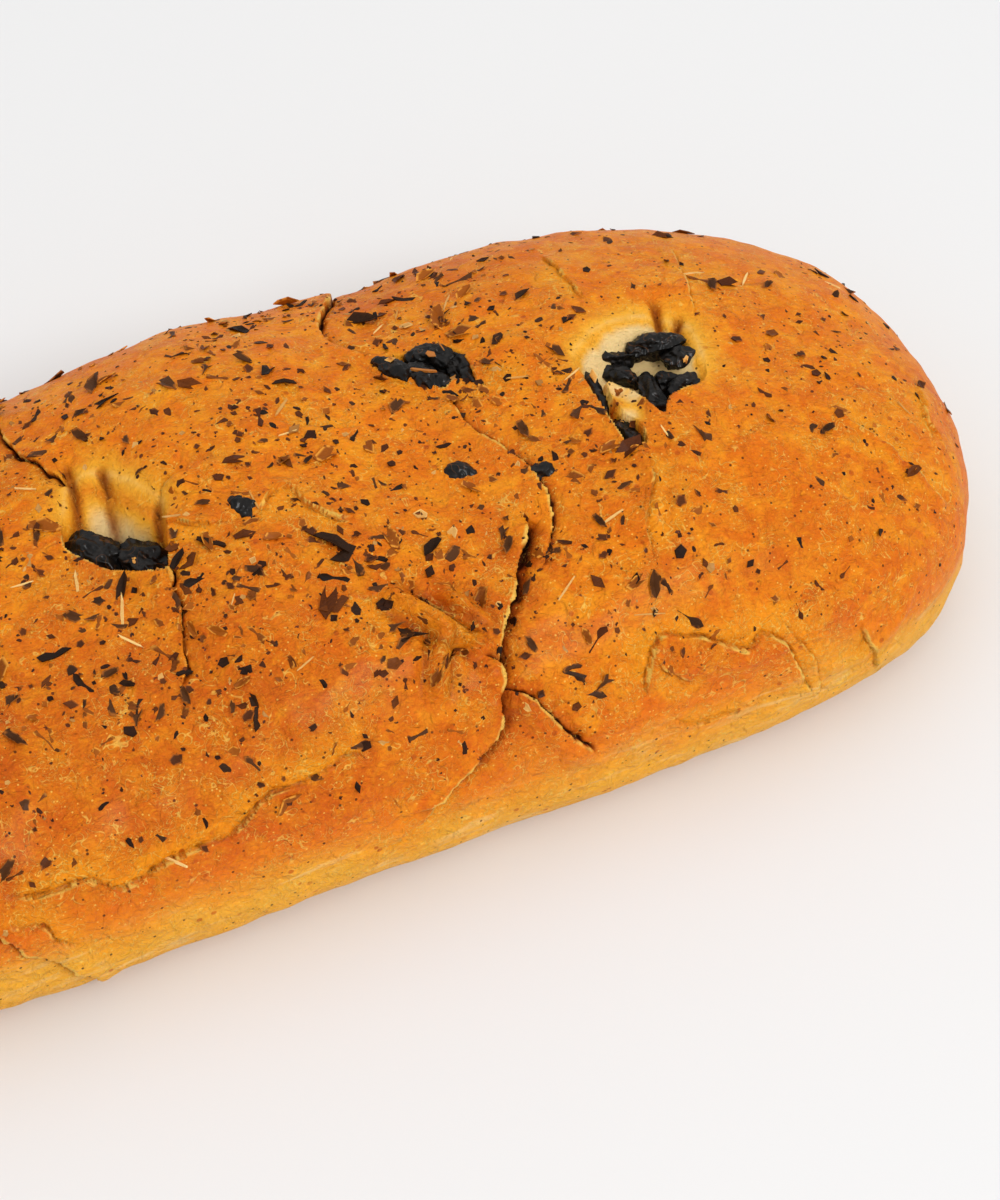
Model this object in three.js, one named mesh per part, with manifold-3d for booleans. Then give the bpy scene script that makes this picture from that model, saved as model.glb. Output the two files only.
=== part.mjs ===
// An olive loaf: one baked loaf of lapped dough, four torn windows in its crust, and the olives in and on it.
// Millimetres, +Z up. +X runs to the free right end and -Y to the long near side. It rests on its flat base.
import * as THREE from "three";
import { mergeVertices } from "three/addons/utils/BufferGeometryUtils.js";
import Module from "manifold-3d";

const wasm = await Module();
wasm.setup();

// ---- Driving dimensions ----
const HALF_LENGTH = 160;
const HALF_WIDTH = 68;
const CORE_HEIGHT = 20; // level at which the loaf is widest
const CROWN = 36; // from the core up to the crust between two panels
const BELLY = 32; // from the core down, before the flat base is cut
const GAP = 0.3; // left round each olive
const FACETS = [50, 22, 7]; // faces along the length, across and up
const DEGREE = Math.PI / 180;

// Each lapped dough panel rises into a low dome: its middle, its reach along the loaf and its rise.
const PANELS = [
  { middle: -112, reach: 34, rise: 8 },
  { middle: -4, reach: 34, rise: 11 },
  { middle: 78, reach: 37, rise: 9 },
];

// The far side bulges beside the two right-hand panels.
const FAR_BULGES = [
  { middle: 0, reach: 26, rise: 3 },
  { middle: 80, reach: 30, rise: 1 },
];

// Rounding powers: 2 is an ellipse and higher is squarer.
const END_POWER = 5.6;
const END_SKEW = 0.8; // the near corners are squarer than the far ones
const SIDE_POWER = 2.3;
const CROWN_POWER = 2.4;
const BELLY_POWER = 3.5;

// Fold lines where one panel laps over the next: places on the crust as [x, turn], with the turn in degrees
// about the core, 0 on top, negative towards the near side.
const FOLD_RADIUS = 1.3;
const FOLD_SIDES = 6;
const FOLD_STEPS = 14;
const FOLDS = [
  [[-44, 72], [-43, 56], [-42, 40], [-38, 29], [-36, 20]],
  [[-26, -20], [-27, -30], [-29, -39], [-33, -52]],
  [[-80, -76], [-76, -86], [-68, -94], [-62, -104]],
  [[40, 80], [40, 66], [31, 52], [29, 42], [35, 32]],
  [[46, 8], [44, -3], [48, -16], [52, -28], [51, -42], [46, -50], [35, -56], [28, -68], [18, -80], [6, -88]],
  [[25, -48], [24, -54], [28, -61], [33, -70], [40, -78], [50, -86]],
];

// Windows torn in the crust: the rim in plan, the level of the floor, and how far the floor narrows.
const WINDOW_TOP = 80; // a cutter's top, clear of the crust
const RIM_POINTS = 2; // drawn for each place given on a rim
const WINDOWS = [
  {
    name: "end_window",
    floor: 46,
    narrowing: 0.75,
    rim: [[-117, 9], [-106, 12], [-99, 4], [-100, -7], [-108, -12], [-116, -6]],
  },
  {
    name: "left_window",
    floor: 46,
    narrowing: 0.8,
    rim: [[-43, 0], [-41, 7], [-38, 14], [-31, 17], [-26, 11], [-21, 2], [-22, -7], [-26, -18], [-34, -13], [-41, -5]],
  },
  {
    name: "middle_window",
    floor: 54,
    narrowing: 0.85,
    rim: [[34.5, 20], [38, 23], [46, 21.5], [52, 18], [53.5, 12], [52, 5], [48, 8], [44, 7], [40, 13], [36, 17]],
  },
  {
    name: "right_window",
    floor: 51,
    narrowing: 0.88,
    rim: [
      [73.5, 4], [79, 8], [88, 10.5], [97, 9], [101.5, 4], [100.5, -5], [97, -12], [90.5, -15], [86, -17.5], [83.5, -20],
      [82, -15], [80, -9], [76.5, -6.5], [75.2, -12], [76.8, -18], [77.2, -23], [75, -26.2], [73, -22], [72.6, -9],
    ],
  },
];

// Olives: centre, size (long, across, thick), turn in plan and tilt in degrees, and sideways bend of the ends.
const OLIVES = {
  end_window: [
    { name: "olive_end_half", at: [-109, 3, 52], size: [14, 9, 8], turn: -50, tilt: 10, bend: 1 },
    { name: "olive_end_quarter", at: [-104.5, -5, 51], size: [9, 7, 7], turn: 10, tilt: -15, bend: 0 },
    { name: "olive_end_sliver", at: [-112.5, -5, 50], size: [8, 4, 5], turn: -70, tilt: 0, bend: 1 },
  ],
  left_window: [
    { name: "olive_left_half", at: [-36.8, -0.6, 52], size: [14.5, 11, 10], turn: -56, tilt: 6, bend: 0.5 },
    { name: "olive_left_quarter", at: [-28.6, -6, 52], size: [14, 10.5, 9.5], turn: -50, tilt: -6, bend: -0.5 },
  ],
  middle_window: [
    { name: "olive_middle_strip", at: [38, 17.8, 59.6], size: [11, 4.8, 5], turn: -58, tilt: 0, bend: 0.5 },
    { name: "olive_middle_fold", at: [43.8, 11.9, 59], size: [12, 6.4, 7], turn: -64, tilt: 6, bend: 1 },
    { name: "olive_middle_back", at: [46.8, 18.4, 59], size: [11, 6, 6.5], turn: -30, tilt: 0, bend: -0.6 },
    { name: "olive_middle_side", at: [51.6, 11.6, 58.8], size: [12.5, 5.4, 6.5], turn: -86, tilt: 4, bend: -0.8 },
  ],
  right_window: [
    { name: "olive_right_arc", at: [82.6, 3.8, 57.6], size: [10, 3.8, 5], turn: -18, tilt: 0, bend: 0.5 },
    { name: "olive_right_crescent", at: [92.8, 3.2, 58.2], size: [13.5, 4.4, 6], turn: -8, tilt: -4, bend: -1 },
    { name: "olive_right_disc", at: [96.6, -1.4, 56.8], size: [8, 4.8, 5.6], turn: -40, tilt: 0, bend: 0.4 },
    { name: "olive_right_chip", at: [82.6, -0.6, 56.6], size: [10, 3.6, 5], turn: -48, tilt: 0, bend: 0 },
    { name: "olive_right_chunk", at: [87, -8.4, 56.4], size: [12.5, 4.8, 6], turn: -98, tilt: 0, bend: 0.6 },
    { name: "olive_right_knot", at: [90.9, -5.6, 55.6], size: [6.5, 4.8, 5], turn: -29, tilt: 0, bend: 0 },
    { name: "olive_right_hook", at: [94.4, -10, 57], size: [9, 4.2, 5.4], turn: 12, tilt: 0, bend: -1 },
    { name: "olive_right_sliver", at: [74.6, -4.8, 58.6], size: [14.5, 2.8, 5], turn: -92, tilt: 0, bend: -0.4 },
    { name: "olive_right_tail", at: [75.3, -19.4, 59.4], size: [11, 4, 5], turn: -84, tilt: 0, bend: 0.4 },
  ],
};

// Olive bits baked onto the crust, placed like the fold lines by [x, turn].
const BIT_SINK = 0.6; // how far the middle of a bit lies under the crust
const BITS = [
  { name: "olive_bit_middle", place: [39, -21], size: [7.4, 4.4, 3.2], heading: -22 },
  { name: "olive_bit_right", place: [54.2, -28], size: [5.6, 4, 3], heading: -34 },
  { name: "olive_bit_left", place: [-7.1, -13], size: [6.6, 4.6, 3.2], heading: -52 },
];

// ---- Finishes ----
const crustFinish = new THREE.MeshStandardMaterial({ color: 0xd97518, roughness: 0.45, metalness: 0 });
const oliveFinish = new THREE.MeshStandardMaterial({ color: 0x17130f, roughness: 0.3, metalness: 0 });

// ---- Solids and meshes ----
const MERGE_DISTANCE = 1e-3;
function solidOf(geometry) {
  const bare = geometry.clone();
  bare.deleteAttribute("normal");
  bare.deleteAttribute("uv");
  const merged = mergeVertices(bare, MERGE_DISTANCE);
  return new wasm.Manifold(
    new wasm.Mesh({
      numProp: 3,
      vertProperties: new Float32Array(merged.attributes.position.array),
      triVerts: new Uint32Array(merged.index.array),
    }),
  );
}

function meshOf(name, solid, finish) {
  const { vertProperties, triVerts } = solid.getMesh();
  const geometry = new THREE.BufferGeometry();
  geometry.setAttribute("position", new THREE.BufferAttribute(vertProperties, 3));
  geometry.setIndex(new THREE.BufferAttribute(triVerts, 1));
  geometry.computeVertexNormals();
  const mesh = new THREE.Mesh(geometry, finish.clone());
  mesh.name = name;
  return mesh;
}

function moveVertices(geometry, move) {
  const places = geometry.attributes.position;
  const point = new THREE.Vector3();
  for (let i = 0; i < places.count; i++) {
    point.fromBufferAttribute(places, i);
    move(point);
    places.setXYZ(i, point.x, point.y, point.z);
  }
  return geometry;
}

// ---- The form of the loaf ----
const bump = (x, { middle, reach, rise }) => rise * Math.exp(-(((x - middle) / reach) ** 2));
const bumps = (x, list) => list.reduce((sum, one) => sum + bump(x, one), 0);

// Above 1 outside the crust and below 1 inside it, for a point measured from the core.
function fullness({ x, y, z }) {
  const turn = Math.atan2(y, z);
  const wide = HALF_WIDTH + (y > 0 ? bumps(x, FAR_BULGES) : 0);
  const [high, power] = z > 0 ? [CROWN + bumps(x, PANELS), CROWN_POWER] : [BELLY, BELLY_POWER];
  const endPower = END_POWER - END_SKEW * Math.sin(turn);
  return (
    Math.abs(x / HALF_LENGTH) ** endPower + Math.abs(y / wide) ** SIDE_POWER + Math.abs(z / high) ** power
  );
}

// Share of the way from start to start + ray at which the crust lies, found by halving.
const SURELY_OUTSIDE = 1.5;
const CLOSE_ENOUGH = 1e-5;
function crustShare(start, ray) {
  let inside = 0;
  let outside = SURELY_OUTSIDE;
  const point = new THREE.Vector3();
  while (outside - inside > CLOSE_ENOUGH) {
    const middle = (inside + outside) / 2;
    point.copy(ray).multiplyScalar(middle).add(start);
    if (fullness(point) > 1) {
      outside = middle;
    } else {
      inside = middle;
    }
  }
  return inside;
}

function onCrust([x, turn]) {
  const start = new THREE.Vector3(x, 0, 0);
  const ray = new THREE.Vector3(0, Math.sin(turn * DEGREE), Math.cos(turn * DEGREE)).multiplyScalar(HALF_WIDTH);
  const point = ray.clone().multiplyScalar(crustShare(start, ray)).add(start);
  point.z += CORE_HEIGHT;
  return point;
}

function wholeLoaf() {
  const core = new THREE.Vector3();
  const block = new THREE.BoxGeometry(2, 2, 2, ...FACETS);
  moveVertices(block, (point) => {
    point.multiply(new THREE.Vector3(HALF_LENGTH, HALF_WIDTH, point.z > 0 ? CROWN : BELLY));
    point.multiplyScalar(crustShare(core, point));
    point.z += CORE_HEIGHT;
  });
  const slab = new THREE.BoxGeometry(3 * HALF_LENGTH, 3 * HALF_WIDTH, BELLY).translate(0, 0, -BELLY / 2);
  return solidOf(block).subtract(solidOf(slab));
}

// ---- Cutters ----
function foldCutter(places) {
  const corners = Array.from({ length: FOLD_SIDES }, (_, i) => (i * 2 * Math.PI) / FOLD_SIDES);
  const section = new THREE.Shape(
    corners.map((angle) => new THREE.Vector2(Math.cos(angle), Math.sin(angle)).multiplyScalar(FOLD_RADIUS)),
  );
  const extrudePath = new THREE.CatmullRomCurve3(places.map(onCrust));
  return solidOf(new THREE.ExtrudeGeometry(section, { extrudePath, steps: FOLD_STEPS }));
}

function windowCutter({ rim, floor, narrowing }) {
  const corners = rim.map(([x, y]) => new THREE.Vector2(x, y));
  const middle = corners.reduce((sum, corner) => sum.add(corner), new THREE.Vector2());
  middle.divideScalar(corners.length);
  const outline = new THREE.Shape(new THREE.SplineCurve([...corners, corners[0]]).getPoints(RIM_POINTS * rim.length));
  const pit = new THREE.ExtrudeGeometry(outline, { depth: WINDOW_TOP - floor, steps: 1, bevelEnabled: false });
  moveVertices(pit, (point) => {
    const size = point.z === 0 ? narrowing : 1;
    point.set(middle.x + (point.x - middle.x) * size, middle.y + (point.y - middle.y) * size, point.z + floor);
  });
  return solidOf(pit);
}

// ---- Olives ----
// A shrivelled piece of olive: a long round with shallow furrows whose ends bend to one side.
const OLIVE_DETAIL = 2;
const FURROW_DEPTH = 0.07;
function oliveShape({ at, size, turn = 0, tilt = 0, bend = 0, lean = 0 }, extra = 0) {
  const half = new THREE.Vector3(...size).multiplyScalar(0.5).addScalar(extra);
  const shape = new THREE.IcosahedronGeometry(1, OLIVE_DETAIL);
  moveVertices(shape, (point) => {
    const furrow = 1 + FURROW_DEPTH * Math.sin(6 * point.x + 4 * point.z) * Math.cos(5 * point.y);
    const along = point.x;
    point.multiply(half).multiplyScalar(furrow);
    point.y += bend * (along * along - 0.5);
  });
  const pose = new THREE.Euler(lean * DEGREE, tilt * DEGREE, turn * DEGREE, "ZYX");
  return shape.applyMatrix4(new THREE.Matrix4().makeRotationFromEuler(pose)).translate(...at);
}

function bitShape({ place, size, heading }, extra = 0) {
  const [x, turn] = place;
  const at = onCrust([x, turn]);
  at.z -= BIT_SINK;
  return oliveShape({ at: at.toArray(), size, turn: heading, lean: -turn }, extra);
}

// Each piece gives way, by the gap, to those laid before it.
function layOlives(pieces, shapeOf) {
  const tray = new THREE.Group();
  let taken = null;
  for (const piece of pieces) {
    const whole = solidOf(shapeOf(piece));
    const solid = taken ? whole.subtract(taken) : whole;
    tray.add(meshOf(piece.name, solid, oliveFinish));
    const room = solidOf(shapeOf(piece, GAP));
    taken = taken ? taken.add(room) : room;
  }
  return { tray, taken };
}

// ---- Assembly ----
const part = new THREE.Group();
let loaf = wholeLoaf();
for (const places of FOLDS) {
  loaf = loaf.subtract(foldCutter(places));
}
for (const opening of WINDOWS) {
  const { tray, taken } = layOlives(OLIVES[opening.name], oliveShape);
  loaf = loaf.subtract(windowCutter(opening)).subtract(taken);
  part.add(tray);
}
const { tray, taken } = layOlives(BITS, bitShape);
loaf = loaf.subtract(taken);
part.add(tray);
part.add(meshOf("loaf", loaf, crustFinish));

// The origin is under the middle of the whole part, on the surface that it rests on.
const middle = new THREE.Box3().setFromObject(part).getCenter(new THREE.Vector3());
part.position.set(-middle.x, -middle.y, 0);

export default part;
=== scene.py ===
# %% [markdown]
# # An olive loaf
# The loaf is a soft wheat dough, filled with black olives and lapped over itself in three panels. It was
# brushed with egg, strewn with dried herbs and baked until golden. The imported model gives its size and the
# place of every olive. This script dresses it: a fine crust with laps and torn windows, shrivelled olives
# and loose herbs, each with its own finish.

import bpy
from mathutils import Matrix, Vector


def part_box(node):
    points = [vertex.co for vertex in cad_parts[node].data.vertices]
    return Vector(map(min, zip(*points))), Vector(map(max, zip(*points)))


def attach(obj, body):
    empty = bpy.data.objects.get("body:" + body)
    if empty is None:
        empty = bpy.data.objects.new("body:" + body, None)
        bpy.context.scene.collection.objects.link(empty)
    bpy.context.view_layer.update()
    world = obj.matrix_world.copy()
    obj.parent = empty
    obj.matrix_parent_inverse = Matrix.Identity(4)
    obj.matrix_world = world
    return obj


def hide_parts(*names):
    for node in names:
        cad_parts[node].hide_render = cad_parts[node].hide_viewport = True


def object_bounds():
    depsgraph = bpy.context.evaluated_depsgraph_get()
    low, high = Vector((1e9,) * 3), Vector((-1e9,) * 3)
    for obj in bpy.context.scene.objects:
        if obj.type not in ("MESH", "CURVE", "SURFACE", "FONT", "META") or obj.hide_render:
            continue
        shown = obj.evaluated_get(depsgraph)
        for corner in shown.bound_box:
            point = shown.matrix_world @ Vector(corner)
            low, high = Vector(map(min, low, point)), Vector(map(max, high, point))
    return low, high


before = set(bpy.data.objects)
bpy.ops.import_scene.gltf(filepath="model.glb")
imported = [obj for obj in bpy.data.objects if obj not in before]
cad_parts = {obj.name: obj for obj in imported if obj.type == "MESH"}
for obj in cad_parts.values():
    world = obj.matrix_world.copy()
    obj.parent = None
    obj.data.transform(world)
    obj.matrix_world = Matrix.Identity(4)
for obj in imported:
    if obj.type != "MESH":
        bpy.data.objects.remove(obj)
CAD_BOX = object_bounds()
print("model box", [tuple(round(value, 4) for value in corner) for corner in CAD_BOX])

# %% [markdown]
# ## Tools
# bmesh holds a mesh while it is being shaped, numpy moves thousands of its points at once, and mathutils
# brings smooth noise and a fast search tree. One seed makes every run the same.

# %% Tools
import math
import random

import bmesh
import bpy
import numpy as np
from mathutils import Matrix, Vector, noise
from mathutils.bvhtree import BVHTree

MM = 0.001
SEED = 20
dice = random.Random(SEED)


def smooth(values, low, high):
    """0 below low, 1 above high and an S-shaped step between them."""
    share = np.clip((np.asarray(values, float) - low) / (high - low), 0, 1)
    return share * share * (3 - 2 * share)


def lumps(points, size, seed=0):
    """Smooth noise between about -1 and 1, with lumps of the given size, for each point."""
    shift = Vector((seed * 7.3, seed * 3.1, seed * 5.7))
    return np.array([noise.noise(Vector(point) / size + shift) for point in points])


def linear(red, green, blue):
    """A colour given as on a screen, turned into the amounts of light that shaders work in."""
    shades = [shade / 255 for shade in (red, green, blue)]
    light = [s / 12.92 if s <= 0.04045 else ((s + 0.055) / 1.055) ** 2.4 for s in shades]
    return (*light, 1.0)


print("seed", SEED)


# %% [markdown]
# ## The form of the loaf
# A hand-shaped loaf is close to a squarish egg: an ellipse whose powers are above 2 gets flatter faces and
# tighter corners. One formula of that kind gives the whole skin, and it says how full any point is: below 1
# is dough and above 1 is air. It is easier to tune than a sculpted cage, because each number is something a
# baker would point at. All of it is worked out in millimetres.

# %% The form of the loaf
low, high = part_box("loaf")
HALF_LENGTH = (high.x - low.x) / 2 / MM
HALF_WIDTH = 68
MIDLINE = low.y / MM + HALF_WIDTH  # the core lies a little nearer the near side, because the far side bulges
CORE_HEIGHT = 20
CROWN = 36
BELLY = 32
PANELS = ((-112, 34, 8), (-4, 34, 11), (78, 37, 9))  # middle, reach and rise of each lapped panel
FAR_BULGES = ((0, 26, 3), (80, 30, 1))
END_POWER, END_SKEW = 5.6, 0.8
SIDE_POWER, CROWN_POWER, BELLY_POWER = 2.3, 2.4, 3.5
HALVINGS = 22


def bumps(x, rows):
    return sum(rise * np.exp(-(((x - middle) / reach) ** 2)) for middle, reach, rise in rows)


def fullness(points):
    x, y, z = points.T
    end_power = END_POWER - END_SKEW * np.sin(np.arctan2(y, z))
    wide = HALF_WIDTH + np.where(y > 0, bumps(x, FAR_BULGES), 0)
    tall = np.where(z > 0, CROWN + bumps(x, PANELS), BELLY)
    power = np.where(z > 0, CROWN_POWER, BELLY_POWER)
    return np.abs(x / HALF_LENGTH) ** end_power + np.abs(y / wide) ** SIDE_POWER + np.abs(z / tall) ** power


def to_skin(starts, rays):
    """The points where rays from inside the dough meet the skin, found by halving."""
    inside = np.zeros(len(rays))
    outside = np.full(len(rays), 1.5)
    for _ in range(HALVINGS):
        middle = (inside + outside) / 2
        full = fullness(starts + rays * middle[:, None]) > 1
        outside = np.where(full, middle, outside)
        inside = np.where(full, inside, middle)
    return starts + rays * inside[:, None]


def skin_normals(points, step=0.5):
    slopes = [fullness(points + step * axis) - fullness(points - step * axis) for axis in np.eye(3)]
    normals = np.stack(slopes, axis=1)
    return normals / np.linalg.norm(normals, axis=1)[:, None]


def skin_places(places):
    """Places on the skin given as (x, turn): turn is in degrees about the core, 0 on top and - when near."""
    x, turn = np.array(places, float).T
    angle = np.radians(turn)
    starts = np.stack([x, 0 * x, 0 * x], axis=1)
    rays = HALF_WIDTH * np.stack([0 * x, np.sin(angle), np.cos(angle)], axis=1)
    return to_skin(starts, rays)


def smooth_line(corners, pieces=4):
    """A Catmull-Rom curve through the corners."""
    knots = np.array([corners[0], *corners, corners[-1]], float)
    share = np.linspace(0, 1, pieces, endpoint=False)[:, None]
    spans = []
    for before, start, end, after in zip(knots, knots[1:], knots[2:], knots[3:]):
        bend = 2 * before - 5 * start + 4 * end - after
        twist = 3 * start - 3 * end + after - before
        spans.append(0.5 * (2 * start + (end - before) * share + bend * share**2 + twist * share**3))
    return np.concatenate([*spans, knots[-1:]])


print("loaf", round(2 * HALF_LENGTH), "mm long; midline", round(MIDLINE, 2), "mm")

# %% [markdown]
# ## Laps and torn skins
# Where one panel of dough lies over another, the top one ends in a thin lip that hangs over a dark crease.
# Skin that tore or wrinkled while the loaf rose shows smaller edges of the same kind. So both are drawn in
# one way: a line of places on the skin, the side that lies on top, the rise of its edge and the depth beside
# it. Wrinkles could be left to a bump in the finish, but an edge that casts a shadow has to be real.

# %% Laps, where one panel lies over the next
# Each row: name, side on top (1 towards the right end, -1 towards the left end), height of the lip, depth
# beside it, overhang, width of the dark slot, lengths over which the lap dies out at its two ends, and the
# (x, turn) places of its line, from far to near.
LAPS = (
    ("left lap, far end", 1, 0.8, 1.9, 0.6, 0.9, (30, 1),
     ((-46, 84), (-45, 70), (-43.5, 58), (-43, 47), (-42, 40), (-40, 35), (-38.5, 30), (-36, 24))),
    ("left lap, below its window", -1, 0.6, 1.5, 0.6, 0.7, (0.5, 10),
     ((-25.5, -22), (-26.5, -26), (-27, -32), (-28, -38), (-30, -44), (-33, -52))),
    ("front lap", 1, 0.9, 2.4, 1.0, 0.9, (3, 1),
     ((-85, -74), (-80.5, -80), (-75.5, -86), (-68.5, -94), (-62, -104))),
    ("right lap, far end", -1, 0.8, 2.4, 0.5, 0.9, (36, 0.5),
     ((42, 92), (41, 80), (39, 68), (33, 57), (29, 49), (28.5, 42), (30, 38), (34, 32))),
    ("right lap, upper skin", -1, 0.9, 1.1, 0.6, 0.8, (4, 9),
     ((46, 9), (44.5, 0), (45.5, -9), (49, -18), (52, -27), (52.3, -36), (50, -44), (44, -52))),
    ("right lap, main crease", -1, 1.4, 4.2, 0.9, 1.9, (2, 8),
     ((47, -39), (43.5, -44), (38, -52), (32.5, -58), (28.5, -66), (26, -74), (21.5, -78), (13.5, -82),
      (4, -86))),
    ("lower flap", -1, 0.8, 1.3, 0.5, 0.8, (2, 6),
     ((27, -61), (30, -65), (29, -68), (32.5, -70), (36.5, -75), (41.5, -82), (48, -88))),
)
lap_lines = [skin_places(smooth_line(row[-1])) for row in LAPS]
print("laps:", *[row[0] for row in LAPS], sep="\n  ")

# %% Torn skins and wrinkles
# Each row: name, side on top, height of the lip, depth beside it, and the places of its line.
SKINS = (
    ("near left edge", -1, 0.55, 1.0, ((-79, -74), (-71, -76), (-61, -76), (-55, -80), (-48, -78),
     (-40, -77), (-31, -76), (-24, -72), (-15, -71), (-6, -69), (-1, -72))),
    ("fine line under it", 1, 0.35, 0.5, ((-66, -88), (-60, -89), (-55, -91), (-49, -92))),
    ("wave above the front lap", -1, 0.5, 0.6, ((-82, -78), (-77, -80), (-73, -81), (-70, -86),
     (-64, -90))),
    ("near right edge", -1, 1.0, 1.0, ((58, -79), (60, -73), (64, -68), (71, -70), (75, -72), (82, -76),
     (86, -74), (91, -78), (94, -85), (98, -94))),
    ("tear inside it", 1, 0.6, 0.7, ((61, -70), (63.5, -74), (66, -76), (69, -78), (70, -75))),
    ("second tear inside it", -1, 0.4, 0.5, ((64, -84), (66, -87), (71, -90), (77, -90), (84, -92))),
    ("forked wrinkle", 1, 0.7, 0.6, ((110, -80), (112, -85), (114.5, -92), (117, -100))),
    ("tear at the right end", -1, 1.0, 0.9, ((119, -35), (122.5, -38), (126, -44.5), (128, -47), (131, -52),
     (134, -58.5), (138, -66.5), (142, -72))),
    ("short tear beyond it", 1, 0.6, 0.6, ((147, -36), (147.5, -43), (145, -52), (146.5, -60))),
    ("near corner", -1, 0.7, 0.7, ((90, -72), (94.5, -78.5), (98, -84), (99.5, -90), (101, -98))),
    ("left of the main crease", 1, 0.6, 0.8, ((-4, -92), (5, -90), (12, -85), (18, -84))),
    ("pinched edge on the nose", 1, 0.8, 1.4, ((15.5, -44.5), (19, -48), (23, -52), (27, -56.5),
     (30, -60.5))),
    ("fold under the nose", -1, 0.6, 1.3, ((16, -62), (20, -60), (23.5, -59), (26.5, -61))),
    ("below the right window", -1, 0.6, 0.9, ((75.5, -31), (75.5, -36), (73, -42), (69, -48), (68, -56))),
    ("strand by the left window", 1, 0.8, 0.8, ((-24, -7), (-20, -10), (-16.5, -14), (-9.5, -16))),
    ("torn edge above it", -1, 0.7, 0.8, ((-21, -1), (-20, 3), (-17.5, 4), (-13, 5))),
    ("middle panel flap", 1, 0.7, 0.7, ((-9, -18), (-6, -17), (-3.5, -15), (-0.5, -12), (3.5, -12),
     (4.5, -16), (6.5, -20), (10, -24), (15, -26))),
    ("wrinkle above it", -1, 0.4, 0.5, ((7, 13), (11, 9), (16, 8), (20, 5), (27, 4))),
    ("middle panel skin", 1, 0.35, 0.4, ((2, -41), (8, -44), (14, -43))),
    ("wrinkle above the right window", -1, 0.6, 0.6, ((112, 48), (111, 41), (109, 30), (106, 18),
     (104, 9))),
    ("second wrinkle above it", 1, 0.6, 0.6, ((83, 48), (83, 40), (83, 32), (83.5, 22))),
    ("right of the middle window", 1, 0.8, 0.8, ((54, 3), (57, 6), (58, 10), (61, 12))),
    ("below the middle window", -1, 0.5, 0.5, ((46, -2), (50, 0), (53, 2), (57, 1))),
    ("wrinkles on the near side", 1, 0.5, 0.6, ((-118, -60), (-108, -66), (-96, -64), (-88, -68))),
    ("top of the left end", -1, 0.5, 0.6, ((-118, -40), (-108, -46), (-96, -44), (-88, -48))),
    ("left end", 1, 0.8, 0.9, ((-142, 16), (-134, 32), (-129, 50), (-127, 68))),
    ("lower left end", -1, 0.7, 0.7, ((-150, -60), (-146, -40), (-148, -20), (-152, 0))),
    ("far side, left panel", 1, 0.8, 0.8, ((-58, 66), (-70, 70), (-84, 68), (-100, 72), (-116, 70))),
    ("far side, middle panel", -1, 0.8, 0.8, ((30, 82), (14, 84), (-4, 80), (-18, 82), (-32, 78))),
    ("far side, right panel", 1, 0.8, 0.8, ((56, 80), (70, 74), (88, 80), (106, 76), (124, 80))),
)
skin_lines = [skin_places(smooth_line(row[-1])) for row in SKINS]
# Bubbles and hollows: place, reach and rise.
BUBBLES = (
    ((-7.5, -78), 4.2, 1.8), ((14, -58), 7, 1.5), ((24.5, -57), 2.0, -2.6), ((68, -62), 12, 0.9),
    ((112, -66), 14, 0.7), ((-58, -70), 12, 0.9), ((-34, 34), 5, -0.8), ((-100, 40), 15, 1.2),
    ((30, 70), 9, 1.2), ((128, 30), 16, 1.0), ((-52, -77), 4, -1.4), ((40, 4), 9, 0.8),
    ((78, -12), 3, -0.8), ((64, 14), 6, 0.9), ((-10, 6), 10, 0.7),
)
# Rounded rolls of pinched dough: half width, rise and places.
ROLLS = (
    (2.0, 3.0, ((11, -43), (16, -48), (20.5, -53), (25, -57), (28.5, -61))),
    (1.7, 2.4, ((20.5, -52), (20, -56), (17.5, -60), (14, -66))),
    (1.5, 1.8, ((22, -45), (25.5, -50), (28.5, -55), (30, -60))),
    (2.2, 0.6, ((-22, -10), (-18, -13), (-13, -14), (-8, -12), (-4, -14))),
    (1.8, 0.9, ((-19, -2), (-16, 2), (-11, 3), (-6, 0))),
    (1.6, 0.9, ((74, -30), (76, -36), (74, -43), (70, -49))),
    (2.4, 1.0, ((66, -72), (72, -76), (79, -77), (86, -80))),
    (2.2, 0.9, ((30, -70), (36, -76), (40, -84), (50, -90))),
    (2.0, 0.8, ((100, -88), (108, -90), (116, -88), (124, -80))),
)
print("torn skins and wrinkles:", *[row[0] for row in SKINS], sep="\n  ")
print(len(BUBBLES), "bubbles and hollows,", len(ROLLS), "rolls")

# %% [markdown]
# ## Windows
# In the oven the filling breaks the crust. The skin pulls back from the near edge and leaves a sharp rim,
# while the far wall is stretched into a rounded slope of pale crumb, with creases running down it.

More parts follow.
